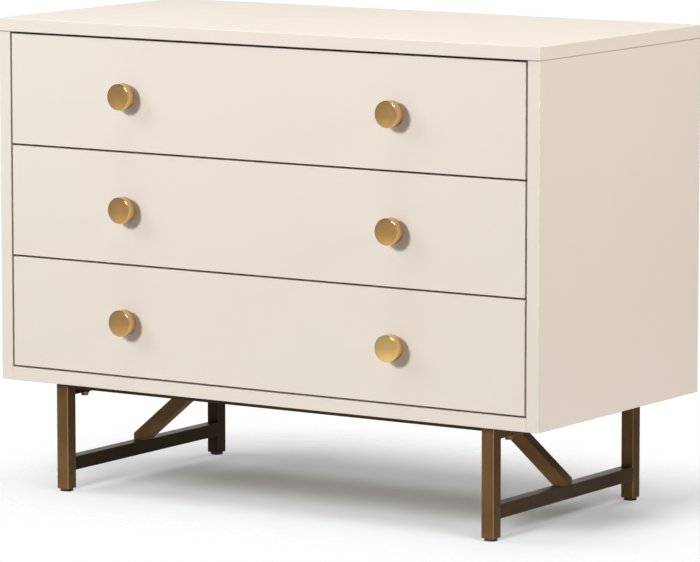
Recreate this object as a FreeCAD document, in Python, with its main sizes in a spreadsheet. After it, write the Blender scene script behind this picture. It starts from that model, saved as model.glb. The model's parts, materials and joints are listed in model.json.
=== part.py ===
import FreeCAD, Part
import Sketcher
import os

# Driving dimensions in millimetres and degrees
SIZES = {
    # Cabinet box
    "width": 914,               # over the outer faces of the side panels
    "depth": 445,               # front to rear edge of the side panels
    "side_height": 510,
    "board": 19,                # side and bottom panels
    "top_thickness": 19,
    "top_overhang": 1.5,        # past the sides and the front
    "edge_radius": 0.8,         # eased edges of the lacquered boards
    "back_thickness": 6,
    "rabbet": 9,                # how far the back panel lies over each side panel
    "fit": 0.3,                 # clearance of pieces that fit into another
    "dowel_diameter": 8,
    "dowel_length": 30,
    "dowel_cover": 8,           # board left over the end of a dowel
    "dowel_inset": 60,          # outer dowels from the front and rear edges
    "back_screw_diameter": 3.5,
    "back_screw_length": 20,
    "back_screw_head": 7,
    "back_screw_sink": 2,       # depth of the sunk head
    "back_screw_inset": 70,     # outer screws from the ends of their row
    # Drawers
    "reveal": 3,                # gap around each drawer front
    "front_thickness": 19,
    "box_board": 12,
    "box_lift": 20,             # box above the lower edge of its front
    "box_drop": 20,             # box below the upper edge of its front
    "box_back_room": 25,        # behind the box, up to the back panel
    "box_bottom": 6,
    "groove_depth": 6,
    "groove_lift": 12,          # groove above the lower edge of the box
    # Runners
    "slide_thickness": 12.7,
    "slide_height": 45,
    "slide_sheet": 1.2,
    "slide_play": 0.5,          # between two members
    "slide_front_room": 2,      # behind the drawer front
    "slide_trim": 15,           # runner shorter than the box
    # Knobs
    "knob_spacing": 454,
    "knob_diameter": 38,
    "knob_cap": 16,             # thickness of the round cap
    "knob_bevel": 1.2,
    "knob_round": 1,            # rear edge of the cap
    "knob_neck": 16,            # neck diameter
    "knob_neck_length": 12,
    "knob_screw": 4,
    "knob_screw_bite": 10,      # screw inside the knob
    "knob_screw_head": 8,
    "knob_screw_head_height": 2.5,
    # Base
    "tube": 20,                 # side of the square tube
    "tube_wall": 1.5,
    "tube_radius": 1.2,
    "leg_length": 158,          # cabinet underside to the lower end of the tube
    "leg_side_inset": 83,
    "leg_front_inset": 20,
    "leg_back_inset": 20,
    "stretcher_drop": 112,      # cabinet underside to the top of the stretcher
    "brace_angle": 40,          # above the horizontal
    "crossbar_width": 20,
    "crossbar_thickness": 8,
    "glide_height": 4,
    "glide_plug": 12,           # height of the plug inside the leg
    "bolt_diameter": 6,
    "bolt_flats": 10,           # across the flats of the hexagon head
    "bolt_head": 4,
    "bolt_inset": 76,           # from the cabinet's front and rear edges
    "bolt_cover": 7,            # board left over the end of a bolt
    "washer_diameter": 14,
    "washer_thickness": 2.5,
}

DRAWERS = ("lower", "middle", "upper")
SIDES = {"left": -1, "right": 1}

# Two places or directions this close count as the same
NEAR = 0.01

# Places worked out from the driving dimensions, as expressions
KNOB_REACH = "(dims.knob_neck_length + dims.knob_cap)"
FRONT_Y = f"(({KNOB_REACH} - dims.depth) / 2)"
BACK_Y = f"({FRONT_Y} + dims.depth)"
MIDDLE_Y = f"({FRONT_Y} + dims.depth / 2)"
CABINET_Z = "(dims.glide_height + dims.leg_length)"
INNER_WIDTH = "(dims.width - 2 * dims.board)"
DOWEL_HOLE = "(dims.dowel_diameter + dims.fit)"
TOP_BITE = "(dims.top_thickness - dims.dowel_cover)"
SIDE_BITE = "(dims.board - dims.dowel_cover)"
DOWEL_ROW = ("dims.dowel_inset", "(dims.depth / 2)", "(dims.depth - dims.dowel_inset)")
BACK_SCREW_HOLE = "(dims.back_screw_diameter + dims.fit)"
BACK_SCREW_BITE = "(dims.back_screw_length + dims.back_screw_sink - dims.back_thickness)"
BACK_SCREW_ROW = ("dims.back_screw_inset", "(dims.side_height / 2)",
                  "(dims.side_height - dims.back_screw_inset)")
BACK_SCREW_COLUMN = ("dims.back_screw_inset", f"({INNER_WIDTH} / 2)",
                     f"({INNER_WIDTH} - dims.back_screw_inset)")
FRONT_HEIGHT = f"((dims.side_height - dims.board - {len(DRAWERS) + 1} * dims.reveal) / {len(DRAWERS)})"
FRONT_WIDTH = f"({INNER_WIDTH} - 2 * dims.reveal)"
BOX_Y = f"({FRONT_Y} + dims.front_thickness)"
BOX_WIDTH = f"({INNER_WIDTH} - 2 * dims.slide_thickness)"
BOX_DEPTH = "(dims.depth - dims.front_thickness - dims.back_thickness - dims.box_back_room)"
BOX_HEIGHT = f"({FRONT_HEIGHT} - dims.box_lift - dims.box_drop)"
SLIDE_LENGTH = f"({BOX_DEPTH} - dims.slide_front_room - dims.slide_trim)"
KNOB_HOLE = "(dims.knob_screw + dims.fit)"
LEG_INNER_X = "(dims.width / 2 - dims.leg_side_inset - dims.tube)"
LEG_MIDDLE_X = "(dims.width / 2 - dims.leg_side_inset - dims.tube / 2)"
LEG_FRONT_Y = f"({FRONT_Y} + dims.leg_front_inset)"
LEG_BACK_Y = f"({BACK_Y} - dims.leg_back_inset - dims.tube)"
RAIL_LENGTH = "(dims.depth - dims.leg_front_inset - dims.leg_back_inset - 2 * dims.tube)"
STRETCHER_Z = f"({CABINET_Z} - dims.stretcher_drop)"
BOLT_HOLE = "(dims.bolt_diameter + dims.fit)"
BOLT_BITE = "(dims.board - dims.bolt_cover)"

doc = FreeCAD.newDocument("nightstand")
sheet = doc.addObject("Spreadsheet::Sheet", "dims")
for row, (alias, size) in enumerate(SIZES.items(), 1):
    sheet.set(f"A{row}", alias)
    sheet.set(f"B{row}", str(size))
    sheet.setAlias(f"B{row}", alias)
doc.recompute()

nodes = []


# Helpers for placing and sketching

def value(text):
    return float(sheet.evalExpression(text))


def turned(axis, degrees):
    return FreeCAD.Rotation(FreeCAD.Vector(*axis), degrees)


def place(item, x, y, z, rotation=None):
    if rotation:
        item.Placement = FreeCAD.Placement(FreeCAD.Vector(), rotation)
    for axis, text in zip("xyz", (x, y, z)):
        item.setExpression(f".Placement.Base.{axis}", text)
    return item


def as_node(item, label):
    item.Label = label
    nodes.append(item)
    return item


def new_body(label):
    return doc.addObject("PartDesign::Body", f"{label}_body")


def new_sketch(body, role, offset="0"):
    plane = next(item for item in body.Origin.OriginFeatures if item.Role == role)
    sketch = body.newObject("Sketcher::SketchObject", "sketch")
    sketch.AttachmentSupport = [(plane, "")]
    sketch.MapMode = "FlatFace"
    sketch.setExpression(".AttachmentOffset.Base.z", offset)
    return sketch


def fix_point(sketch, geometry, point, x, y):
    for kind, axis, text in (("DistanceX", -2, x), ("DistanceY", -1, y)):
        if text == "0":
            sketch.addConstraint(Sketcher.Constraint("PointOnObject", geometry, point, axis))
        else:
            rule = Sketcher.Constraint(kind, -1, 1, geometry, point, value(text))
            index = sketch.addConstraint(rule)
            sketch.setExpression(f"Constraints[{index}]", text)


def draw_polygon(sketch, points):
    corners = [FreeCAD.Vector(value(x), value(y), 0) for x, y in points]
    count = len(corners)
    first = sketch.GeometryCount
    for i in range(count):
        sketch.addGeometry(Part.LineSegment(corners[i], corners[(i + 1) % count]))
    for i in range(count):
        follower = first + (i + 1) % count
        sketch.addConstraint(Sketcher.Constraint("Coincident", first + i, 2, follower, 1))
    for i, (x, y) in enumerate(points):
        fix_point(sketch, first + i, 1, x, y)


def draw_circle(sketch, x, y, diameter):
    centre = FreeCAD.Vector(value(x), value(y), 0)
    circle = Part.Circle(centre, FreeCAD.Vector(0, 0, 1), value(diameter) / 2)
    index = sketch.addGeometry(circle)
    rule = sketch.addConstraint(Sketcher.Constraint("Diameter", index, value(diameter)))
    sketch.setExpression(f"Constraints[{rule}]", diameter)
    fix_point(sketch, index, 3, x, y)


def pad(body, role, points, length, forward=True):
    sketch = new_sketch(body, role)
    draw_polygon(sketch, points)
    feature = body.newObject("PartDesign::Pad", "pad")
    feature.Profile = sketch
    feature.setExpression("Length", length)
    feature.Reversed = not forward
    doc.recompute()
    return feature


def cut(body, sketch, depth, reverse):
    before = body.Shape.Volume
    feature = body.newObject("PartDesign::Pocket", "pocket")
    feature.Profile = sketch
    feature.setExpression("Length", depth)
    feature.Reversed = reverse
    doc.recompute()
    if not body.Shape.Volume < before:
        raise RuntimeError(f"{body.Name}: a pocket cuts nothing")


def drill(body, role, offset, centres, diameter, depth, reverse=False):
    sketch = new_sketch(body, role, offset)
    for x, y in centres:
        draw_circle(sketch, x, y, diameter)
    cut(body, sketch, depth, reverse)


def edge_names(shape, chosen):
    return [f"Edge{i}" for i, edge in enumerate(shape.Edges, 1) if chosen(edge)]


def dress(body, kind, chosen, size_name, size):
    base = body.Tip
    feature = body.newObject(f"PartDesign::{kind}", kind.lower())
    feature.Base = (base, edge_names(base.Shape, chosen))
    feature.setExpression(size_name, size)
    doc.recompute()


def on_faces(body, faces):
    # Chooses the edges that lie in the named faces of the body's box, such as XMin
    box = body.Tip.Shape.BoundBox
    walls = [(name[0].lower(), getattr(box, name)) for name in faces]

    def chosen(edge):
        return any(all(abs(getattr(vertex.Point, axis) - wall) < NEAR
                       for vertex in edge.Vertexes) for axis, wall in walls)
    return chosen


def ease(body, *faces):
    dress(body, "Fillet", on_faces(body, faces), "Radius", "dims.edge_radius")


def rectangle(size_x, size_y):
    return [("0", "0"), (size_x, "0"), (size_x, size_y), ("0", size_y)]


def group(label, items):
    compound = doc.addObject("Part::Compound", f"{label}_group")
    compound.Links = items
    return as_node(compound, label)


def rod(diameter, length, x, y, z, rotation=None):
    item = doc.addObject("Part::Cylinder", "rod")
    item.setExpression("Radius", f"{diameter} / 2")
    item.setExpression("Height", length)
    return place(item, x, y, z, rotation)


def fuse(*items):
    item = doc.addObject("Part::MultiFuse", "fused")
    item.Shapes = list(items)
    return item


# Cabinet box

def side_panel(side):
    body = new_body(f"{side}_side_panel")
    shelf = "(dims.depth - dims.back_thickness)"
    step = "(dims.board - dims.rabbet)"
    if side == "left":
        plan = [("0", "0"), ("dims.board", "0"), ("dims.board", shelf), (step, shelf),
                (step, "dims.depth"), ("0", "dims.depth")]
        outer, inner_face, start = "XMin", "dims.board", "0 - dims.width / 2"
        shelf_middle = f"({step} + dims.rabbet / 2)"
    else:
        plan = [("0", "0"), ("dims.board", "0"), ("dims.board", "dims.depth"),
                ("dims.rabbet", "dims.depth"), ("dims.rabbet", shelf), ("0", shelf)]
        outer, inner_face, start = "XMax", "0", "dims.width / 2 - dims.board"
        shelf_middle = "(dims.rabbet / 2)"
    pad(body, "XY_Plane", plan, "dims.side_height")
    ease(body, outer, "YMin")
    top_holes = [("dims.board / 2", y) for y in DOWEL_ROW]
    drill(body, "XY_Plane", "dims.side_height", top_holes, DOWEL_HOLE, f"dims.dowel_length - {TOP_BITE}")
    bottom_holes = [(y, "dims.board / 2") for y in DOWEL_ROW]
    drill(body, "YZ_Plane", inner_face, bottom_holes, DOWEL_HOLE, SIDE_BITE, side == "right")
    screw_holes = [(shelf_middle, z) for z in BACK_SCREW_ROW]
    drill(body, "XZ_Plane", f"0 - {shelf}", screw_holes, BACK_SCREW_HOLE, BACK_SCREW_BITE, True)
    place(body, start, FRONT_Y, CABINET_Z)
    as_node(body, f"{side}_side_panel")


def bottom_panel():
    body = new_body("bottom_panel")
    panel_depth = "(dims.depth - dims.back_thickness)"
    pad(body, "XY_Plane", rectangle(INNER_WIDTH, panel_depth), "dims.board")
    ease(body, "YMin")
    ends = [(y, "dims.board / 2") for y in DOWEL_ROW]
    drill(body, "YZ_Plane", "0", ends, DOWEL_HOLE, f"dims.dowel_length - {SIDE_BITE}", True)
    drill(body, "YZ_Plane", INNER_WIDTH, ends, DOWEL_HOLE, f"dims.dowel_length - {SIDE_BITE}")
    screws = [(x, "dims.board / 2") for x in BACK_SCREW_COLUMN]
    drill(body, "XZ_Plane", f"0 - {panel_depth}", screws, BACK_SCREW_HOLE, BACK_SCREW_BITE, True)
    bolts = [(f"{INNER_WIDTH} / 2 + {sign} * {LEG_MIDDLE_X}", y)
             for sign in SIDES.values() for y in ("dims.bolt_inset", "(dims.depth - dims.bolt_inset)")]
    drill(body, "XY_Plane", "0", bolts, BOLT_HOLE, BOLT_BITE, True)
    place(body, f"0 - {INNER_WIDTH} / 2", FRONT_Y, CABINET_Z)
    as_node(body, "bottom_panel")


def top_panel():
    body = new_body("top_panel")
    over = "dims.top_overhang"
    outline = rectangle(f"dims.width + 2 * {over}", f"dims.depth + {over}")
    pad(body, "XY_Plane", outline, "dims.top_thickness")
    ease(body, "XMin", "XMax", "YMin", "YMax")
    columns = (f"({over} + dims.board / 2)", f"({over} + dims.width - dims.board / 2)")
    holes = [(x, f"({over} + {y})") for x in columns for y in DOWEL_ROW]
    drill(body, "XY_Plane", "0", holes, DOWEL_HOLE, TOP_BITE, True)
    place(body, f"0 - dims.width / 2 - {over}", f"{FRONT_Y} - {over}", f"{CABINET_Z} + dims.side_height")
    as_node(body, "top_panel")


def back_screw_places():
    # Across the back from the left edge of the clear width, and up from the cabinet underside
    rows = [("0 - dims.rabbet / 2", z) for z in BACK_SCREW_ROW]
    rows += [(f"({INNER_WIDTH} + dims.rabbet / 2)", z) for z in BACK_SCREW_ROW]
    return rows + [(x, "dims.board / 2") for x in BACK_SCREW_COLUMN]


def back_panel():
    body = new_body("back_panel")
    side_play = "(dims.rabbet - dims.fit)"
    pad(body, "XZ_Plane", rectangle(f"{INNER_WIDTH} + 2 * {side_play}", "dims.side_height"),
        "dims.back_thickness", False)
    centres = [(f"({x} + {side_play})", z) for x, z in back_screw_places()]
    rear = "0 - dims.back_thickness"
    drill(body, "XZ_Plane", rear, centres, BACK_SCREW_HOLE, "dims.back_thickness", True)
    head_hole = "(dims.back_screw_head + dims.fit)"
    drill(body, "XZ_Plane", rear, centres, head_hole, "dims.back_screw_sink", True)
    place(body, f"0 - {INNER_WIDTH} / 2 - {side_play}", f"{BACK_Y} - dims.back_thickness", CABINET_Z)
    as_node(body, "back_panel")


def back_panel_screws():
    forward = turned((1, 0, 0), 90)
    screws = []
    for x, z in back_screw_places():
        across = f"{x} - {INNER_WIDTH} / 2"
        height = f"{CABINET_Z} + {z}"
        head = rod("dims.back_screw_head", "dims.back_screw_sink", across, BACK_Y, height, forward)
        shank = rod("dims.back_screw_diameter", "dims.back_screw_length", across,
                    f"{BACK_Y} - dims.back_screw_sink", height, forward)
        screws.append(fuse(head, shank))
    group("back_panel_screws", screws)


def carcass_dowels():
    lying = turned((0, 1, 0), 90)
    dowels = []
    for sign in SIDES.values():
        upright_x = f"{sign} * (dims.width / 2 - dims.board / 2)"
        lying_middle = f"{sign} * ({INNER_WIDTH} / 2 + {SIDE_BITE} - dims.dowel_length / 2)"
        lying_x = f"{lying_middle} - dims.dowel_length / 2"
        for row in DOWEL_ROW:
            y = f"{FRONT_Y} + {row}"
            upright_z = f"{CABINET_Z} + dims.side_height + {TOP_BITE} - dims.dowel_length"
            dowels.append(rod("dims.dowel_diameter", "dims.dowel_length", upright_x, y, upright_z))
            lying_z = f"{CABINET_Z} + dims.board / 2"
            dowels.append(rod("dims.dowel_diameter", "dims.dowel_length", lying_x, y, lying_z, lying))
    group("carcass_dowels", dowels)


# Drawers

def drawer_z(level):
    return f"({CABINET_Z} + dims.board + dims.reveal + {level} * ({FRONT_HEIGHT} + dims.reveal))"


def knob_columns(length):
    return [f"({length} / 2 + {sign} * dims.knob_spacing / 2)" for sign in SIDES.values()]


def drawer_front(name, level):
    body = new_body(f"{name}_drawer_front")
    pad(body, "XZ_Plane", rectangle(FRONT_WIDTH, FRONT_HEIGHT), "dims.front_thickness", False)
    ease(body, "YMin", "YMax")
    holes = [(x, f"({FRONT_HEIGHT} / 2)") for x in knob_columns(FRONT_WIDTH)]
    drill(body, "XZ_Plane", "0", holes, KNOB_HOLE, "dims.front_thickness")
    place(body, f"0 - {FRONT_WIDTH} / 2", FRONT_Y, drawer_z(level))
    as_node(body, f"{name}_drawer_front")


def grooved_board(label, length):
    # Stands on its lower edge, with the groove for the drawer bottom in its +X face
    body = new_body(label)
    wall = "dims.box_board"
    floor = f"({wall} - dims.groove_depth)"
    groove_top = "(dims.groove_lift + dims.box_bottom + dims.fit)"
    section = [("0", "0"), (wall, "0"), (wall, "dims.groove_lift"), (floor, "dims.groove_lift"),
               (floor, groove_top), (wall, groove_top), (wall, BOX_HEIGHT), ("0", BOX_HEIGHT)]
    pad(body, "XZ_Plane", section, length, False)
    return as_node(body, label)


def drawer_box(name, level):
    base_z = f"{drawer_z(level)} + dims.box_lift"
    half = f"{BOX_WIDTH} / 2"
    cross_length = f"({BOX_WIDTH} - 2 * dims.box_board)"
    up = (0, 0, 1)
    left = grooved_board(f"{name}_drawer_left_side", BOX_DEPTH)
    place(left, f"0 - {half}", BOX_Y, base_z)
    right = grooved_board(f"{name}_drawer_right_side", BOX_DEPTH)
    place(right, half, f"{BOX_Y} + {BOX_DEPTH}", base_z, turned(up, 180))
    back = grooved_board(f"{name}_drawer_back", cross_length)
    place(back, f"0 - {cross_length} / 2", f"{BOX_Y} + {BOX_DEPTH}", base_z, turned(up, 270))
    box_front = grooved_board(f"{name}_drawer_box_front", cross_length)
    holes = [(y, f"({FRONT_HEIGHT} / 2 - dims.box_lift)") for y in knob_columns(cross_length)]
    drill(box_front, "YZ_Plane", "0", holes, KNOB_HOLE, "dims.box_board", True)
    place(box_front, f"{cross_length} / 2", BOX_Y, base_z, turned(up, 90))
    inset = "(dims.box_board - dims.groove_depth + dims.fit)"
    bottom = doc.addObject("Part::Box", f"{name}_drawer_bottom_box")
    bottom.setExpression("Length", f"{BOX_WIDTH} - 2 * {inset}")
    bottom.setExpression("Width", f"{BOX_DEPTH} - 2 * {inset}")
    bottom.setExpression("Height", "dims.box_bottom")
    place(bottom, f"{inset} - {half}", f"{BOX_Y} + {inset}", f"{base_z} + dims.groove_lift")
    as_node(bottom, f"{name}_drawer_bottom")


def knob(name, side, level):
    body = new_body(f"{name}_drawer_{side}_knob")
    sketch = new_sketch(body, "XY_Plane")
    bore, neck, cap = f"({KNOB_HOLE} / 2)", "(dims.knob_neck / 2)", "(dims.knob_diameter / 2)"
    bore_depth = "(dims.knob_screw_bite + dims.fit)"
    draw_polygon(sketch, [(bore, "0"), (neck, "0"), (neck, "dims.knob_neck_length"),
                          (cap, "dims.knob_neck_length"), (cap, KNOB_REACH), ("0", KNOB_REACH),
                          ("0", bore_depth), (bore, bore_depth)])
    turning = body.newObject("PartDesign::Revolution", "turning")
    turning.Profile = sketch
    turning.ReferenceAxis = (sketch, ["V_Axis"])
    doc.recompute()

    def rim(at):
        return lambda edge: (abs(edge.BoundBox.XLength - value("dims.knob_diameter")) < NEAR
                             and abs(edge.BoundBox.Center.y - value(at)) < NEAR
                             and edge.BoundBox.YLength < NEAR)
    dress(body, "Fillet", rim(KNOB_REACH), "Radius", "dims.knob_bevel")
    dress(body, "Fillet", rim("dims.knob_neck_length"), "Radius", "dims.knob_round")
    height = f"{drawer_z(level)} + {FRONT_HEIGHT} / 2"
    place(body, f"{SIDES[side]} * dims.knob_spacing / 2", FRONT_Y, height, turned((0, 0, 1), 180))
    as_node(body, f"{name}_drawer_{side}_knob")


def knob_screws(name, level):
    forward = turned((1, 0, 0), 90)
    seat = f"({BOX_Y} + dims.box_board)"
    height = f"{drawer_z(level)} + {FRONT_HEIGHT} / 2"
    length = "dims.box_board + dims.front_thickness + dims.knob_screw_bite"
    screws = []
    for sign in SIDES.values():
        x = f"{sign} * dims.knob_spacing / 2"
        head = rod("dims.knob_screw_head", "dims.knob_screw_head_height", x,
                   f"{seat} + dims.knob_screw_head_height", height, forward)
        shank = rod("dims.knob_screw", length, x, seat, height, forward)
        screws.append(fuse(head, shank))
    group(f"{name}_drawer_knob_screws", screws)


# Runners: three nested channels on each side, each drawn from the side panel towards the drawer

def channel(web_start, web_end, tip, half_height):
    top, inner_top = half_height, f"({half_height} - dims.slide_sheet)"
    low, inner_low = f"(0 - {half_height})", f"(dims.slide_sheet - {half_height})"
    return [(web_start, low), (tip, low), (tip, inner_low), (web_end, inner_low),
            (web_end, inner_top), (tip, inner_top), (tip, top), (web_start, top)]


def runner_members():
    metal, play, thick = "dims.slide_sheet", "dims.slide_play", "dims.slide_thickness"
    half = "(dims.slide_height / 2)"
    step = f"({metal} + {play})"
    return {
        "cabinet": channel("0", metal, f"({thick} - {metal} - 3 * {play})", half),
        "middle": channel(step, f"({step} + {metal})", f"({thick} - {metal} - {play})",
                          f"({half} - {step})"),
        "drawer": channel(thick, f"({thick} - {metal})", f"(2 * {step})", f"({half} - 2 * {step})"),
    }


def runners(name, level):
    centre_z = f"{drawer_z(level)} + dims.box_lift + {BOX_HEIGHT} / 2"
    start_y = f"{BOX_Y} + dims.slide_front_room"
    for member, section in runner_members().items():
        label = f"{name}_runner_{member}_members"
        left = new_body(f"{label}_left")
        pad(left, "XZ_Plane", section, SLIDE_LENGTH, False)
        place(left, f"0 - {INNER_WIDTH} / 2", start_y, centre_z)
        right = new_body(f"{label}_right")
        pad(right, "XZ_Plane", section, SLIDE_LENGTH, False)
        place(right, f"{INNER_WIDTH} / 2", f"{start_y} + {SLIDE_LENGTH}", centre_z, turned((0, 0, 1), 180))
        group(label, [left, right])


# Base

def square_tube(label, role, length, forward):
    # Square outer section with eased long edges, then the bore
    body = new_body(label)
    outer = pad(body, role, rectangle("dims.tube", "dims.tube"), length, forward)
    along = outer.Shape.BoundBox
    run = max((along.XLength, "x"), (along.YLength, "y"), (along.ZLength, "z"))[1]

    def lengthwise(edge):
        return abs(getattr(edge.tangentAt(edge.FirstParameter), run)) > 1 - NEAR
    dress(body, "Fillet", lengthwise, "Radius", "dims.tube_radius")
    bore = new_sketch(body, role)
    near, far = "dims.tube_wall", "(dims.tube - dims.tube_wall)"
    draw_polygon(bore, [(near, near), (far, near), (far, far), (near, far)])
    cut(body, bore, length, forward)
    return as_node(body, label)


def trestle(side):
    sign = SIDES[side]
    near_x = f"{sign} * {LEG_MIDDLE_X} - dims.tube / 2"
    for end, y in (("front", LEG_FRONT_Y), ("back", LEG_BACK_Y)):
        leg = square_tube(f"{side}_{end}_leg", "XY_Plane", "dims.leg_length", True)
        place(leg, near_x, y, "dims.glide_height")
    rail_y = f"{LEG_FRONT_Y} + dims.tube"
    stretcher = square_tube(f"{side}_stretcher", "XZ_Plane", RAIL_LENGTH, False)
    place(stretcher, near_x, rail_y, f"{STRETCHER_Z} - dims.tube")
    rail = square_tube(f"{side}_side_rail", "XZ_Plane", RAIL_LENGTH, False)
    bolts = [("dims.tube / 2", f"({y} - dims.leg_front_inset - dims.tube)")
             for y in ("dims.bolt_inset", "(dims.depth - dims.bolt_inset)")]
    drill(rail, "XY_Plane", "dims.tube", bolts, BOLT_HOLE, "dims.tube")
    place(rail, near_x, rail_y, f"{CABINET_Z} - dims.tube")


def brace(side):
    # Right brace: drawn from the inner end of its top cut, along +X, and up from the stretcher
    body = new_body(f"{side}_brace")
    slope = "dims.brace_angle"
    rise = "(dims.stretcher_drop - dims.crossbar_thickness)"
    foot = f"({rise} / tan({slope}))"
    toe = f"({foot} + dims.tube)"
    toe_height = f"(dims.tube * (1 - sin({slope})) / cos({slope}))"
    head = f"(dims.tube / sin({slope}))"
    pad(body, "XZ_Plane", [("0", rise), (foot, "0"), (toe, "0"), (toe, toe_height), (head, rise)],
        "dims.tube", False)
    wall = f"(dims.tube_wall / sin({slope}))"
    back = f"(({rise} - {toe_height}) / tan({slope}))"
    bore = new_sketch(body, "XZ_Plane", "0 - dims.tube_wall")
    draw_polygon(bore, [(wall, rise), (f"({back} + {wall})", toe_height),
                        (f"({back} + {head} - {wall})", toe_height), (f"({head} - {wall})", rise)])
    cut(body, bore, "dims.tube - 2 * dims.tube_wall", False)
    head_x = f"({LEG_INNER_X} - {foot})"
    if side == "right":
        place(body, head_x, f"{MIDDLE_Y} - dims.tube / 2", STRETCHER_Z)
    else:
        place(body, f"0 - {head_x}", f"{MIDDLE_Y} + dims.tube / 2", STRETCHER_Z, turned((0, 0, 1), 180))
    as_node(body, f"{side}_brace")


def cross_bars():
    width = "dims.crossbar_width"
    places = {"front": LEG_FRONT_Y, "centre": f"{MIDDLE_Y} - {width} / 2",
              "back": f"{LEG_BACK_Y} + dims.tube - {width}"}
    for name, y in places.items():
        bar = doc.addObject("Part::Box", f"{name}_bar")
        bar.setExpression("Length", f"2 * {LEG_INNER_X}")
        bar.setExpression("Width", width)
        bar.setExpression("Height", "dims.crossbar_thickness")
        place(bar, f"0 - {LEG_INNER_X}", y, f"{CABINET_Z} - dims.crossbar_thickness")
        as_node(bar, f"{name}_cross_bar")


def leg_places():
    return [(f"{sign} * {LEG_MIDDLE_X}", f"{y} + dims.tube / 2")
            for sign in SIDES.values() for y in (LEG_FRONT_Y, LEG_BACK_Y)]


def bolt_places():
    return [(f"{sign} * {LEG_MIDDLE_X}", y) for sign in SIDES.values()
            for y in (f"{FRONT_Y} + dims.bolt_inset", f"{BACK_Y} - dims.bolt_inset")]


def foot_glides():
    plug_side = "(dims.tube - 2 * dims.tube_wall - 2 * dims.fit)"
    glides = []
    for x, y in leg_places():
        foot = rod("(dims.tube - dims.tube_wall)", "dims.glide_height", x, y, "0")
        plug = doc.addObject("Part::Box", "plug")
        plug.setExpression("Length", plug_side)
        plug.setExpression("Width", plug_side)
        plug.setExpression("Height", "dims.glide_plug")
        place(plug, f"{x} - {plug_side} / 2", f"{y} - {plug_side} / 2", "dims.glide_height")
        glides.append(fuse(foot, plug))
    group("foot_glides", glides)


def base_fasteners():
    rail_z = f"({CABINET_Z} - dims.tube)"
    washer_z = f"({rail_z} - dims.washer_thickness)"
    bolts, washers = [], []
    for x, y in bolt_places():
        head = doc.addObject("Part::Prism", "hexagon")
        head.Polygon = 6
        head.setExpression("Circumradius", "dims.bolt_flats / 2 / cos(30)")
        head.setExpression("Height", "dims.bolt_head")
        place(head, x, y, f"{washer_z} - dims.bolt_head")
        shank_length = f"dims.washer_thickness + dims.tube + {BOLT_BITE}"
        bolts.append(fuse(head, rod("dims.bolt_diameter", shank_length, x, y, washer_z)))
        washer = doc.addObject("Part::Cut", "washer")
        washer.Base = rod("dims.washer_diameter", "dims.washer_thickness", x, y, washer_z)
        washer.Tool = rod(BOLT_HOLE, "dims.washer_thickness", x, y, washer_z)
        washers.append(washer)
    group("base_bolts", bolts)
    group("base_washers", washers)


for side_name in SIDES:
    side_panel(side_name)
bottom_panel()
top_panel()
back_panel()
back_panel_screws()
carcass_dowels()
for drawer_level, drawer_name in enumerate(DRAWERS):
    drawer_front(drawer_name, drawer_level)
    drawer_box(drawer_name, drawer_level)
    for side_name in SIDES:
        knob(drawer_name, side_name, drawer_level)
    knob_screws(drawer_name, drawer_level)
    runners(drawer_name, drawer_level)
for side_name in SIDES:
    trestle(side_name)
    brace(side_name)
cross_bars()
foot_glides()
base_fasteners()
doc.recompute()

for item in doc.Objects:
    if "Invalid" in item.State or "Error" in item.State:
        raise RuntimeError(f"{item.Name} failed: {item.State}")
for item in nodes:
    if item.Shape.isNull() or not item.Shape.isValid():
        raise RuntimeError(f"{item.Label} has no valid shape")

os.makedirs("parts", exist_ok=True)
for item in nodes:
    item.Shape.exportStep(f"parts/{item.Label}.step")
print(len(nodes), "nodes written")
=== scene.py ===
import json
import math

import bpy
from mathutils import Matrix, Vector


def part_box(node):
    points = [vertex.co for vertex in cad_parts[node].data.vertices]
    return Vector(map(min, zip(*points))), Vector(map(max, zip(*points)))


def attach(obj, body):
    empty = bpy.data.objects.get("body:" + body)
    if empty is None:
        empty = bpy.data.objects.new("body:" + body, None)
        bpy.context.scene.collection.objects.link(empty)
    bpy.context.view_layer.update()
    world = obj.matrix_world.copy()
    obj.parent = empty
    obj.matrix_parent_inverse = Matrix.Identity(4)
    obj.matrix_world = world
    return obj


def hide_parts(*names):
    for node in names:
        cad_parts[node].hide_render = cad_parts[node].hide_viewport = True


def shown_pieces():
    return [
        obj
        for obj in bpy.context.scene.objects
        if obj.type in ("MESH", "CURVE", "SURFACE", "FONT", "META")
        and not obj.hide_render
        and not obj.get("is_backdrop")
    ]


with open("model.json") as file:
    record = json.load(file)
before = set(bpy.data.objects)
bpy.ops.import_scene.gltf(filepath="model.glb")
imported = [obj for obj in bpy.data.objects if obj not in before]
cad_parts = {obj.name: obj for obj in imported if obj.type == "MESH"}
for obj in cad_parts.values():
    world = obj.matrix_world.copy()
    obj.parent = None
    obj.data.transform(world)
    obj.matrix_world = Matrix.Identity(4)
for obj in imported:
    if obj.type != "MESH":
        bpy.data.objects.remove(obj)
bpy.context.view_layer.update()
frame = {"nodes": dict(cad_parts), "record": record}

# Camera, fitted to the edges of the cabinet: degrees, metres and millimetres
CAMERA_TARGET = Vector((0.1506, -0.2085, 0.350))
CAMERA_AZIMUTH = 33.176
CAMERA_ELEVATION = 7.580
CAMERA_DISTANCE = 6.9265
CAMERA_LENS = 255.74
SENSOR_WIDTH = 36.0
CAMERA_FAR = 60.0

# Knobs: their places in the frame and their lengths, in metres
KNOB_FOOT_Y = -0.2085
KNOB_X = 0.227
KNOB_Z = 0.263833
KNOB_PITCH = 0.162667
KNOB_RADIUS = 0.019
KNOB_REACH = 0.028
KNOB_CAP = 0.016
KNOB_DOME = 0.0011
KNOB_BEVEL = 0.0014
KNOB_REAR = 0.001
NECK_RADIUS = 0.008
NECK_FILLET = 0.002
KNOB_SEGMENTS = 96
FACE_RINGS = 12
BEVEL_STEPS = 8
FILLET_STEPS = 5

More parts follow.
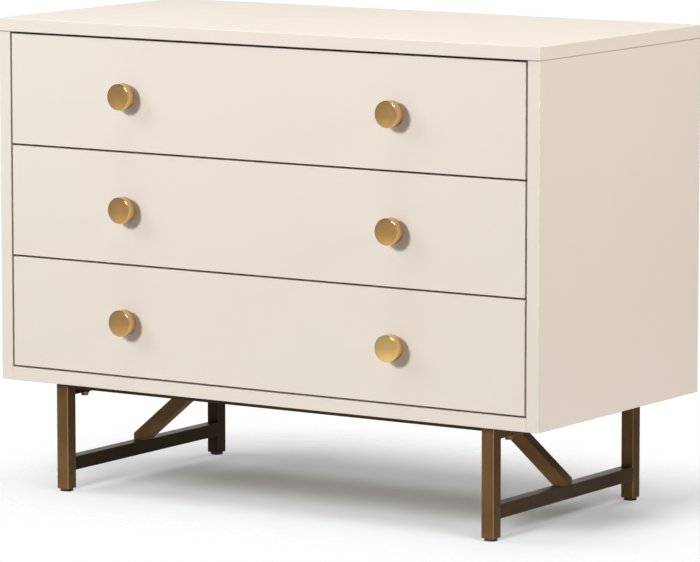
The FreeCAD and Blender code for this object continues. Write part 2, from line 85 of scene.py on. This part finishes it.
# Brass: turning marks on the faces, and painted shade, a darkened reflection of the knob's shadow, that
# deepens along the wall and ends at the rear edge
RING_PITCH = 0.00045
WALL_PAINTED_SHADE = 0.68
WALL_SHADE_END = 0.003
REAR_PAINTED_SHADE = 0.9
REAR_DARK = 0.0012
REAR_CLEAR = 0.004
OUTER_SKIN = (0.0012, 0.0004)
KNOB_SHADE_COLOUR = (0.09, 0.035, 0.012, 1.0)
# The lower right knob takes a brighter copy of the brass: a painted reflection, for the brighter light its
# face reflects
BRIGHT_KNOB = "lower_drawer_right_knob"

# Painted shade in the seam between the top panel and the side panels
TOP_SEAM_Z = 0.672
TOP_SEAM_REACH = 0.0011
SEAM_SHADE_SHARE = 0.8
SEAM_SHADE_COLOUR = (0.16, 0.12, 0.09, 1.0)

# Sky: level against height, from straight down to straight up
SKY_LEVELS = ((0.0, 0.72), (0.36, 0.72), (0.44, 0.46), (0.55, 0.40), (0.70, 0.18), (1.0, 0.24))
SKY_DIM_TOWARDS = (0.85, 0.5, 0.0)
SKY_DIM_START = -0.3
SKY_DIM_END = 0.7
SKY_DIMMED = 0.15
SKY_AMBIENT = 0.62
SKY_COLOUR = (1.0, 0.95, 0.88, 1.0)
WHITE = (1.0, 1.0, 1.0, 1.0)

# Sky as mirrored in gloss: its own levels, and ranges given as low, high, start and end along an axis
MIRROR_LEVELS = ((0.0, 1.0), (0.29, 1.0), (0.36, 0.75), (0.43, 0.50), (0.50, 0.46), (0.60, 0.32),
                 (1.0, 0.24))
MIRROR_DEPTH = (1.0, 0.25, -0.75, -0.15)
MIRROR_SIDE = (1.0, 2.0, -0.25, 0.35)
MIRROR_BACKDROP = (0.0, 1.0, 0.2, 0.65)
MIRROR_HORIZON = (0.0, 1.0, -0.02, 0.06)

# Lamps: direction from the aim point, distance, size in metres, power in watts and colour
LAMP_AIM = Vector((0.0, -0.1, 0.4))
LAMPS = {
    "key": ((-0.11, -1.0, 0.38), 5.5, 0.95, 191.0, (1.0, 0.99, 0.985)),
    "left": ((-1.2, -1.0, 1.1), 3.5, 1.9, 31.0, (0.82, 0.92, 1.0)),
    "overhead": ((0.0, -0.1, 1.0), 2.4, 1.5, 28.0, (1.0, 0.985, 0.965)),
    "right": ((0.9, -0.02, 0.30), 4.0, 1.4, 113.0, (1.0, 0.965, 0.93)),
    "back": ((-0.5, 1.0, 0.0), 3.5, 0.5, 88.0, (1.0, 0.985, 0.965)),
    "floor_front": ((0.15, -1.0, 0.8), 3.0, 1.2, 56.0, (1.0, 1.0, 1.0)),
    "floor_back": ((0.05, 1.0, 1.1), 3.0, 1.2, 24.0, (1.0, 1.0, 1.0)),
    "floor_left": ((-1.0, -0.3, 0.7), 3.0, 1.2, 22.0, (1.0, 1.0, 1.0)),
    "floor_right": ((1.0, -0.3, 0.8), 3.0, 1.2, 38.0, (1.0, 1.0, 1.0)),
}

# Flags: which groups of surfaces each lamp reaches, where a finish without a group is the cabinet's
GROUP_OF_FINISH = {
    "base_bronze": "base", "bolt_bronze": "base", "glide_plastic": "base",
    "dark_bronze": "shaded", "deep_bronze": "shaded",
    "knob_brass": "knobs", "bright_brass": "knobs",
}
FLAGS = {
    "key": ("cabinet", "base", "shaded", "knobs"),
    "left": ("cabinet", "base", "shaded"),
    "overhead": ("cabinet", "base"),
    "right": ("cabinet",),
    "back": ("cabinet",),
    "floor_front": ("floor",),
    "floor_back": ("floor",),
    "floor_left": ("floor",),
    "floor_right": ("floor",),
}

# Floor: keeps the shadow near the object and fades into the white backdrop
FLOOR_RADIUS = 3.4
FLOOR_SEGMENTS = 128
FLOOR_MIDDLE = (0.08, 0.05)
FLOOR_HALF = (0.30, 0.10)
FLOOR_FADE = (0.0, 0.45)
FLOOR_COLOUR = (0.83, 0.85, 0.87, 1.0)
FLOOR_PALE = (0.84, 0.86, 0.88, 1.0)
FLOOR_GLOW = 0.10
FLOOR_SPECULAR = 0.1

# Share of a noise's values that is spread over a whole range
MIDDLE = {"start": 0.3, "end": 0.7}


class Graph:
    """Short names for building a node tree."""

    def __init__(self, tree):
        self.tree = tree
        tree.nodes.clear()

    def node(self, kind, inputs=None, **settings):
        item = self.tree.nodes.new(kind)
        for key, setting in settings.items():
            setattr(item, key, setting)
        for key, source in (inputs or {}).items():
            self.feed(item.inputs[key], source)
        return item

    def feed(self, socket, source):
        if isinstance(source, bpy.types.NodeSocket):
            self.tree.links.new(source, socket)
        else:
            socket.default_value = source

    def math(self, operation, *terms):
        item = self.node("ShaderNodeMath", operation=operation)
        for socket, term in zip(item.inputs, terms):
            self.feed(socket, term)
        return item.outputs[0]

    def mixture(self, *parts):
        shares = [self.math("MULTIPLY", source, share) for source, share in parts]
        return self.math("ADD", *shares)

    def length(self, first, second):
        squares = [self.math("MULTIPLY", side, side) for side in (first, second)]
        return self.math("SQRT", self.math("ADD", *squares))

    def place(self):
        return self.node("ShaderNodeTexCoord").outputs["Object"]

    def axes(self, vector):
        return self.node("ShaderNodeSeparateXYZ", {"Vector": vector}).outputs

    def stretched(self, vector, scale):
        return self.node("ShaderNodeMapping", {"Vector": vector, "Scale": scale}).outputs["Vector"]

    def noise(self, vector, scale, detail=3.0, roughness=0.55, distortion=0.0):
        inputs = {"Vector": vector, "Scale": scale, "Detail": detail, "Roughness": roughness,
                  "Distortion": distortion}
        return self.node("ShaderNodeTexNoise", inputs).outputs["Fac"]

    def between(self, source, low, high, start=0.0, end=1.0):
        inputs = {"Value": source, "From Min": start, "From Max": end, "To Min": low, "To Max": high}
        return self.node("ShaderNodeMapRange", inputs, clamp=True).outputs["Result"]

    def blend(self, factor, first, second):
        item = self.node("ShaderNodeMix", data_type="RGBA")
        self.feed(item.inputs[0], factor)
        self.feed(item.inputs[6], first)
        self.feed(item.inputs[7], second)
        return item.outputs[2]

    def levels(self, source, stops):
        item = self.node("ShaderNodeValToRGB", {"Fac": source})
        elements = item.color_ramp.elements
        while len(elements) < len(stops):
            elements.new(0.5)
        for element, (position, level) in zip(elements, stops):
            element.position = position
            element.color = (level, level, level, 1.0)
        return item.outputs["Color"]

    def bump(self, height, strength, distance, under=None):
        inputs = {"Height": height, "Strength": strength, "Distance": distance}
        if under:
            inputs["Normal"] = under
        return self.node("ShaderNodeBump", inputs).outputs["Normal"]


def new_graph(name):
    material = bpy.data.materials.new(name)
    material.use_nodes = True
    return material, Graph(material.node_tree)


def finish_with(g, colour, roughness, normal, metallic=0.0, specular=0.5):
    shader = g.node("ShaderNodeBsdfPrincipled", {
        "Base Color": colour, "Roughness": roughness, "Metallic": metallic,
        "Specular IOR Level": specular, "Normal": normal})
    g.node("ShaderNodeOutputMaterial", {"Surface": shader.outputs["BSDF"]})


def lacquer(name, pale, deep, gloss_low, gloss_high):
    material, g = new_graph(name)
    where = g.place()
    drift = g.noise(where, scale=2.2, detail=2.0)
    mottle = g.noise(where, scale=38.0, detail=4.0)
    tone = g.blend(g.between(drift, 0.0, 1.0, **MIDDLE), deep, pale)
    fleck = g.blend(g.between(mottle, 0.0, 0.05, start=0.45, end=0.75), tone, deep)
    # A darker band along the seam under the top panel: painted shade
    away = g.math("ABSOLUTE", g.math("SUBTRACT", g.axes(where)["Z"], TOP_SEAM_Z))
    seam_shaded = g.blend(g.between(away, SEAM_SHADE_SHARE, 0.0, start=0.0, end=TOP_SEAM_REACH), fleck, SEAM_SHADE_COLOUR)
    gloss = g.between(g.noise(where, scale=24.0, detail=3.0), gloss_low, gloss_high, **MIDDLE)
    ripple = g.bump(g.noise(where, scale=55.0, detail=2.0), strength=0.03, distance=0.0006)
    peel = g.bump(g.noise(where, scale=950.0, detail=2.0), strength=0.05, distance=0.00008, under=ripple)
    finish_with(g, seam_shaded, gloss, peel, specular=0.4)
    return material


def brass(name, deep, pale, rim_wear_and_sheen):
    material, g = new_graph(name)
    where = g.place()
    axes = g.axes(where)
    across = g.math("SUBTRACT", g.math("ABSOLUTE", axes["X"]), KNOB_X)
    up = g.math("WRAP", g.math("SUBTRACT", axes["Z"], KNOB_Z), KNOB_PITCH / 2, -KNOB_PITCH / 2)
    radius = g.length(across, up)
    rings = g.math("SINE", g.math("MULTIPLY", radius, 2 * math.pi / RING_PITCH))
    patina = g.noise(where, scale=55.0, detail=4.0)
    tone = g.blend(g.between(patina, 0.0, 1.0, start=0.25, end=0.75), deep, pale)
    # The rim near the edge takes the rim colour: rubbed wear, and on the knob brass also a painted sheen
    # for the brighter reflection along the edge
    wear_and_sheen = g.between(radius, 0.0, 0.4, start=KNOB_RADIUS * 0.9, end=KNOB_RADIUS)
    reach = g.math("SUBTRACT", KNOB_FOOT_Y, axes["Y"])
    back = KNOB_REACH - KNOB_CAP
    # Painted shade on the wall of the cap, darker towards its rear edge, for the knob's shadow reflected in
    # the wall
    wall = g.between(reach, WALL_PAINTED_SHADE, 0.0, start=back, end=KNOB_REACH - WALL_SHADE_END)
    rear = g.between(reach, REAR_PAINTED_SHADE, 0.0, start=back + REAR_DARK, end=back + REAR_CLEAR)
    outer = g.between(radius, 0.0, 1.0, *[KNOB_RADIUS - depth for depth in OUTER_SKIN])
    painted_shade = g.math("MULTIPLY", g.math("MAXIMUM", wall, rear), outer)
    rim = g.blend(painted_shade, g.blend(wear_and_sheen, tone, rim_wear_and_sheen), KNOB_SHADE_COLOUR)
    gloss = g.between(g.noise(where, scale=240.0, detail=4.0), 0.14, 0.21, **MIDDLE)
    turned = g.bump(rings, strength=0.04, distance=0.00002)
    pitted = g.bump(g.noise(where, scale=1300.0, detail=3.0), strength=0.02, distance=0.00005, under=turned)
    finish_with(g, rim, gloss, pitted, metallic=1.0)
    return material


def bronze(name, dark, light, wear_and_sheen, metallic):
    # Edges between a front or rear face and another face are lighter: partly rubbed wear, partly a painted
    # highlight for the light their rounded corners catch
    material, g = new_graph(name)
    where = g.place()
    cloud = g.noise(where, scale=11.0, detail=3.0, roughness=0.5, distortion=0.3)
    mottle = g.noise(where, scale=130.0, detail=4.0)
    mixed = g.mixture((cloud, 0.8), (mottle, 0.2))
    tone = g.blend(g.between(mixed, 0.0, 1.0, start=0.32, end=0.68), dark, light)
    facing = g.axes(g.node("ShaderNodeNewGeometry").outputs["Normal"])
    aside = g.math("MAXIMUM", g.math("ABSOLUTE", facing["X"]), g.math("ABSOLUTE", facing["Z"]))
    edge = g.math("MULTIPLY", g.math("ABSOLUTE", facing["Y"]), aside)
    edges_worn_and_lit = g.blend(g.between(edge, 0.0, 0.8, start=0.1, end=0.4), tone, wear_and_sheen)
    gloss = g.between(g.noise(where, scale=75.0, detail=4.0), 0.30, 0.42, **MIDDLE)
    grain = g.bump(g.noise(where, scale=900.0, detail=2.0), strength=0.04, distance=0.0001)
    finish_with(g, edges_worn_and_lit, gloss, grain, metallic=metallic, specular=0.12)
    return material


def timber(name, stretch, pale, deep):
    # Grain runs along the axis with the small stretch
    material, g = new_graph(name)
    where = g.place()
    bend = g.noise(g.stretched(where, stretch), scale=0.16, roughness=0.5, distortion=0.8)
    fine = tuple(FIBRE_FINENESS * share for share in stretch)
    fibre = g.noise(g.stretched(where, fine), scale=1.0, detail=4.0, roughness=0.65)
    bands = g.math("FRACT", g.math("MULTIPLY", bend, GRAIN_BANDS))
    figure = g.mixture((bands, 0.55), (fibre, 0.45))
    tone = g.blend(g.between(figure, 0.0, 1.0, start=0.15, end=0.85), pale, deep)
    gloss = g.between(fibre, 0.42, 0.6, **MIDDLE)
    grain = g.bump(fibre, strength=0.12, distance=0.0002)
    finish_with(g, tone, gloss, grain)
    return material


def plated(name, dark, light, stretch):
    material, g = new_graph(name)
    where = g.place()
    streak = g.noise(g.stretched(where, stretch), scale=1.0, detail=4.0)
    cloud = g.noise(where, scale=28.0, detail=3.0)
    tone = g.blend(g.between(cloud, 0.0, 1.0, **MIDDLE), dark, light)
    gloss = g.between(streak, 0.28, 0.44, **MIDDLE)
    drawn = g.bump(streak, strength=0.06, distance=0.0001)
    finish_with(g, tone, gloss, drawn, metallic=1.0)
    return material


def plastic(name, dark, light):
    material, g = new_graph(name)
    where = g.place()
    tone = g.blend(g.noise(where, scale=60.0, detail=3.0), dark, light)
    gloss = g.between(g.noise(where, scale=150.0, detail=3.0), 0.5, 0.7, **MIDDLE)
    grain = g.bump(g.noise(where, scale=1500.0, detail=2.0), strength=0.1, distance=0.0001)
    finish_with(g, tone, gloss, grain)
    return material


# Grain of the wood and streaks of the steel: how far each axis is stretched
FIBRE_FINENESS = 4.0
GRAIN_BANDS = 9.0
ALONG_X = (6.0, 90.0, 90.0)
ALONG_Y = (90.0, 6.0, 90.0)
ALONG_Z = (90.0, 90.0, 6.0)
DRAWN_ALONG_Y = (300.0, 8.0, 300.0)
EVEN = (200.0, 200.0, 200.0)

# Colours of the drawer wood and of the lacquer
BIRCH_PALE = (0.62, 0.46, 0.29, 1)
BIRCH_DEEP = (0.47, 0.32, 0.18, 1)
IVORY_PALE = (0.800, 0.735, 0.660, 1)
IVORY_DEEP = (0.785, 0.716, 0.634, 1)

# Pieces of the base under the cabinet that take darker copies of the bronze: painted shade where they sit
# in the cabinet's shade
SHADE_PAINTED_FINISH = {
    "right_stretcher": "dark_bronze",
    "left_stretcher": "deep_bronze",
    "left_back_leg": "deep_bronze",
    "left_side_rail": "deep_bronze",
    "front_cross_bar": "dark_bronze",
    "centre_cross_bar": "deep_bronze",
    "back_cross_bar": "deep_bronze",
}

finishes = {
    "ivory_lacquer": lacquer("ivory_lacquer", IVORY_PALE, IVORY_DEEP, gloss_low=0.36, gloss_high=0.46),
    "back_board": lacquer("back_board", (0.70, 0.63, 0.55, 1), (0.64, 0.57, 0.49, 1),
                          gloss_low=0.5, gloss_high=0.62),
    "drawer_wood": timber("drawer_wood", ALONG_X, BIRCH_PALE, BIRCH_DEEP),
    "drawer_side_wood": timber("drawer_side_wood", ALONG_Y, BIRCH_PALE, BIRCH_DEEP),
    "dowel_beech": timber("dowel_beech", ALONG_Z, (0.60, 0.42, 0.25, 1), (0.48, 0.31, 0.17, 1)),
    "knob_brass": brass("knob_brass", (0.66, 0.40, 0.158, 1), (0.77, 0.485, 0.20, 1),
                        rim_wear_and_sheen=(0.82, 0.58, 0.26, 1)),
    # A brighter copy of the knob brass for one knob: painted reflection
    "bright_brass": brass("bright_brass", (0.96, 0.66, 0.26, 1), (1.0, 0.73, 0.31, 1),
                          rim_wear_and_sheen=(0.72, 0.47, 0.19, 1)),
    "base_bronze": bronze("base_bronze", (0.125, 0.069, 0.026, 1), (0.208, 0.118, 0.046, 1),
                          wear_and_sheen=(0.50, 0.31, 0.14, 1), metallic=0.35),
    # dark_bronze and deep_bronze are darker copies of the base bronze: painted shade for pieces in the
    # shade under the cabinet
    "dark_bronze": bronze("dark_bronze", (0.058, 0.033, 0.014, 1), (0.098, 0.056, 0.024, 1),
                          wear_and_sheen=(0.16, 0.09, 0.04, 1), metallic=0.35),
    "deep_bronze": bronze("deep_bronze", (0.024, 0.014, 0.006, 1), (0.044, 0.025, 0.011, 1),
                          wear_and_sheen=(0.10, 0.056, 0.024, 1), metallic=0.35),
    "bolt_bronze": bronze("bolt_bronze", (0.12, 0.075, 0.035, 1), (0.24, 0.15, 0.07, 1),
                          wear_and_sheen=(0.42, 0.28, 0.14, 1), metallic=0.8),
    "runner_steel": plated("runner_steel", (0.46, 0.46, 0.47, 1), (0.62, 0.62, 0.63, 1), DRAWN_ALONG_Y),
    "screw_steel": plated("screw_steel", (0.50, 0.47, 0.40, 1), (0.66, 0.63, 0.56, 1), EVEN),
    "glide_plastic": plastic("glide_plastic", (0.012, 0.012, 0.012, 1), (0.03, 0.029, 0.028, 1)),
}

for entry in frame["record"]["subparts"]:
    node = frame["nodes"][entry["node"]]
    finish = entry["material_slot"]
    if finish == "drawer_wood" and entry["node"].endswith("_side"):
        finish = "drawer_side_wood"
    # Pieces in the shade under the cabinet take a darker copy of their finish: painted shade
    finish = SHADE_PAINTED_FINISH.get(entry["node"], finish)
    node.data.materials.clear()
    node.data.materials.append(finishes[finish])


def arc(centre, radius, start, end, steps):
    turns = [math.radians(start + (end - start) * i / steps) for i in range(steps + 1)]
    return [(centre[0] + radius * math.cos(t), centre[1] + radius * math.sin(t)) for t in turns]


def knob_profile():
    # Radius and reach in front of the drawer, from the middle of the face to the foot of the neck
    edge = KNOB_RADIUS - KNOB_BEVEL
    shoulder = KNOB_REACH - KNOB_DOME
    shares = [i / FACE_RINGS for i in range(FACE_RINGS)]
    face = [(edge * share, KNOB_REACH - KNOB_DOME * share ** 2) for share in shares]
    bevel = arc((edge, shoulder - KNOB_BEVEL), KNOB_BEVEL, 90, 0, BEVEL_STEPS)
    back = KNOB_REACH - KNOB_CAP
    rear = arc((KNOB_RADIUS - KNOB_REAR, back + KNOB_REAR), KNOB_REAR, 0, -90, FILLET_STEPS)
    inner = arc((NECK_RADIUS + NECK_FILLET, back - NECK_FILLET), NECK_FILLET, 90, 180, FILLET_STEPS)
    foot = arc((NECK_RADIUS + NECK_FILLET, NECK_FILLET), NECK_FILLET, 180, 270, FILLET_STEPS)
    return face + bevel + rear + inner + foot


def build_knob(node_name):
    low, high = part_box(node_name)
    x, z = (low[0] + high[0]) / 2, (low[2] + high[2]) / 2
    front = high[1]
    profile = knob_profile()
    vertices = [(x, front - profile[0][1], z)]
    for radius, reach in profile[1:]:
        for i in range(KNOB_SEGMENTS):
            turn = 2 * math.pi * i / KNOB_SEGMENTS
            vertices.append((x + radius * math.cos(turn), front - reach, z + radius * math.sin(turn)))
    faces = [(0, 1 + i, 1 + (i + 1) % KNOB_SEGMENTS) for i in range(KNOB_SEGMENTS)]
    for ring in range(len(profile) - 2):
        first = 1 + ring * KNOB_SEGMENTS
        second = first + KNOB_SEGMENTS
        for i in range(KNOB_SEGMENTS):
            j = (i + 1) % KNOB_SEGMENTS
            faces.append((first + i, second + i, second + j, first + j))
    mesh = bpy.data.meshes.new(f"{node_name}_turned")
    mesh.from_pydata(vertices, [], faces)
    mesh.polygons.foreach_set("use_smooth", [True] * len(faces))
    # The bright knob's brighter brass is a painted reflection
    finish = "bright_brass" if node_name == BRIGHT_KNOB else "knob_brass"
    mesh.materials.append(finishes[finish])
    knob = bpy.data.objects.new(f"{node_name}_turned", mesh)
    bpy.context.scene.collection.objects.link(knob)
    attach(knob, node_name.split("_")[0] + "_drawer")
    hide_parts(node_name)


for entry in frame["record"]["subparts"]:
    if entry["node"].endswith("_knob"):
        build_knob(entry["node"])


def build_floor():
    turns = [2 * math.pi * i / FLOOR_SEGMENTS for i in range(FLOOR_SEGMENTS)]
    rim = [(FLOOR_RADIUS * math.cos(turn), FLOOR_RADIUS * math.sin(turn), 0.0) for turn in turns]
    mesh = bpy.data.meshes.new("floor")
    mesh.from_pydata(rim, [], [list(range(FLOOR_SEGMENTS))])
    material, g = new_graph("floor")
    where = g.place()
    axes = g.axes(where)
    beyond = []
    for name, middle, half in zip("XY", FLOOR_MIDDLE, FLOOR_HALF):
        reach = g.math("ABSOLUTE", g.math("SUBTRACT", axes[name], middle))
        beyond.append(g.math("MAXIMUM", g.math("SUBTRACT", reach, half), 0.0))
    distance = g.length(*beyond)
    grain = g.bump(g.noise(where, scale=180.0, detail=2.0), strength=0.02, distance=0.0005)
    gloss = g.between(g.noise(where, scale=9.0, detail=2.0), 0.78, 0.9)
    pale = g.blend(g.noise(where, scale=6.0, detail=2.0), FLOOR_COLOUR, FLOOR_PALE)
    paper = g.node("ShaderNodeBsdfPrincipled", {
        "Base Color": pale, "Roughness": gloss, "Specular IOR Level": FLOOR_SPECULAR, "Normal": grain,
        "Emission Color": WHITE, "Emission Strength": FLOOR_GLOW})
    clear = g.node("ShaderNodeBsdfTransparent")
    away = g.node("ShaderNodeMapRange", {
        "Value": distance, "From Min": FLOOR_FADE[0], "From Max": FLOOR_FADE[1],
        "To Min": 0.0, "To Max": 1.0}, interpolation_type="SMOOTHSTEP").outputs["Result"]
    fade = g.node("ShaderNodeMixShader", {0: away, 1: paper.outputs["BSDF"], 2: clear.outputs["BSDF"]})
    g.node("ShaderNodeOutputMaterial", {"Surface": fade.outputs["Shader"]})
    mesh.materials.append(material)
    floor = bpy.data.objects.new("floor", mesh)
    bpy.context.scene.collection.objects.link(floor)
    floor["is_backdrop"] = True


def build_sky():
    # Straight views see white, gloss sees the mirrored levels, and all else the ambient ones
    world = bpy.data.worlds.new("studio")
    bpy.context.scene.world = world
    world.use_nodes = True
    g = Graph(world.node_tree)
    direction = g.node("ShaderNodeTexCoord").outputs["Generated"]
    axes = g.axes(direction)
    height = g.between(axes["Z"], 0.0, 1.0, start=-1.0, end=1.0)
    towards = g.node("ShaderNodeVectorMath", {0: direction, 1: SKY_DIM_TOWARDS}, operation="DOT_PRODUCT")
    dimming = g.between(towards.outputs["Value"], 1.0, SKY_DIMMED, SKY_DIM_START, SKY_DIM_END)
    share = g.math("MULTIPLY", dimming, SKY_AMBIENT)
    ambient = g.math("MULTIPLY", g.levels(height, SKY_LEVELS), share)
    sides = g.math("MULTIPLY", g.between(axes["Y"], *MIRROR_DEPTH), g.between(axes["X"], *MIRROR_SIDE))
    front = g.math("MINIMUM", g.math("MULTIPLY", g.levels(height, MIRROR_LEVELS), sides), 1.0)
    above = g.between(axes["Z"], *MIRROR_HORIZON)
    backdrop = g.math("MULTIPLY", g.between(axes["Y"], *MIRROR_BACKDROP), above)
    mirrored = g.math("MAXIMUM", front, backdrop)
    rays = g.node("ShaderNodeLightPath").outputs
    level = g.node("ShaderNodeMix", {0: rays["Is Glossy Ray"], 2: ambient, 3: mirrored}).outputs[0]
    seen = rays["Is Camera Ray"]
    strength = g.math("ADD", g.math("MULTIPLY", level, g.math("SUBTRACT", 1.0, seen)), seen)
    tint = g.blend(seen, SKY_COLOUR, WHITE)
    glow = g.node("ShaderNodeBackground", {"Color": tint, "Strength": strength})
    g.node("ShaderNodeOutputWorld", {"Surface": glow.outputs["Background"]})


def flag_groups():
    finish_names = {material: name for name, material in finishes.items()}
    groups = {"floor": [bpy.data.objects["floor"]], "base": [], "shaded": [], "knobs": [], "cabinet": []}
    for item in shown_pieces():
        material = item.material_slots[0].material
        groups[GROUP_OF_FINISH.get(finish_names.get(material), "cabinet")].append(item)
    return groups


def build_lamps():
    groups = flag_groups()
    for name, (direction, distance, size, power, colour) in LAMPS.items():
        light = bpy.data.lights.new(name, "AREA")
        light.shape = "DISK"
        light.size = size
        light.energy = power
        light.color = colour
        lamp = bpy.data.objects.new(name, light)
        towards = Vector(direction).normalized()
        lamp.location = LAMP_AIM + towards * distance
        lamp.rotation_euler = (-towards).to_track_quat("-Z", "Y").to_euler()
        bpy.context.scene.collection.objects.link(lamp)
        lit = bpy.data.collections.new(f"lit_by_{name}")
        for group in FLAGS[name]:
            for item in groups[group]:
                lit.objects.link(item)
        lamp.light_linking.receiver_collection = lit


def build_camera():
    lens = bpy.data.cameras.new("camera")
    lens.lens = CAMERA_LENS
    lens.sensor_width = SENSOR_WIDTH
    lens.clip_end = CAMERA_FAR
    camera = bpy.data.objects.new("camera", lens)
    azimuth = math.radians(CAMERA_AZIMUTH)
    elevation = math.radians(CAMERA_ELEVATION)
    outward = Vector((math.sin(azimuth) * math.cos(elevation), -math.cos(azimuth) * math.cos(elevation),
                      math.sin(elevation)))
    camera.location = CAMERA_TARGET + outward * CAMERA_DISTANCE
    camera.rotation_euler = (-outward).to_track_quat("-Z", "Y").to_euler()
    bpy.context.scene.collection.objects.link(camera)
    bpy.context.scene.camera = camera


build_floor()
build_sky()
build_lamps()
build_camera()
bpy.context.scene.view_settings.view_transform = "Standard"
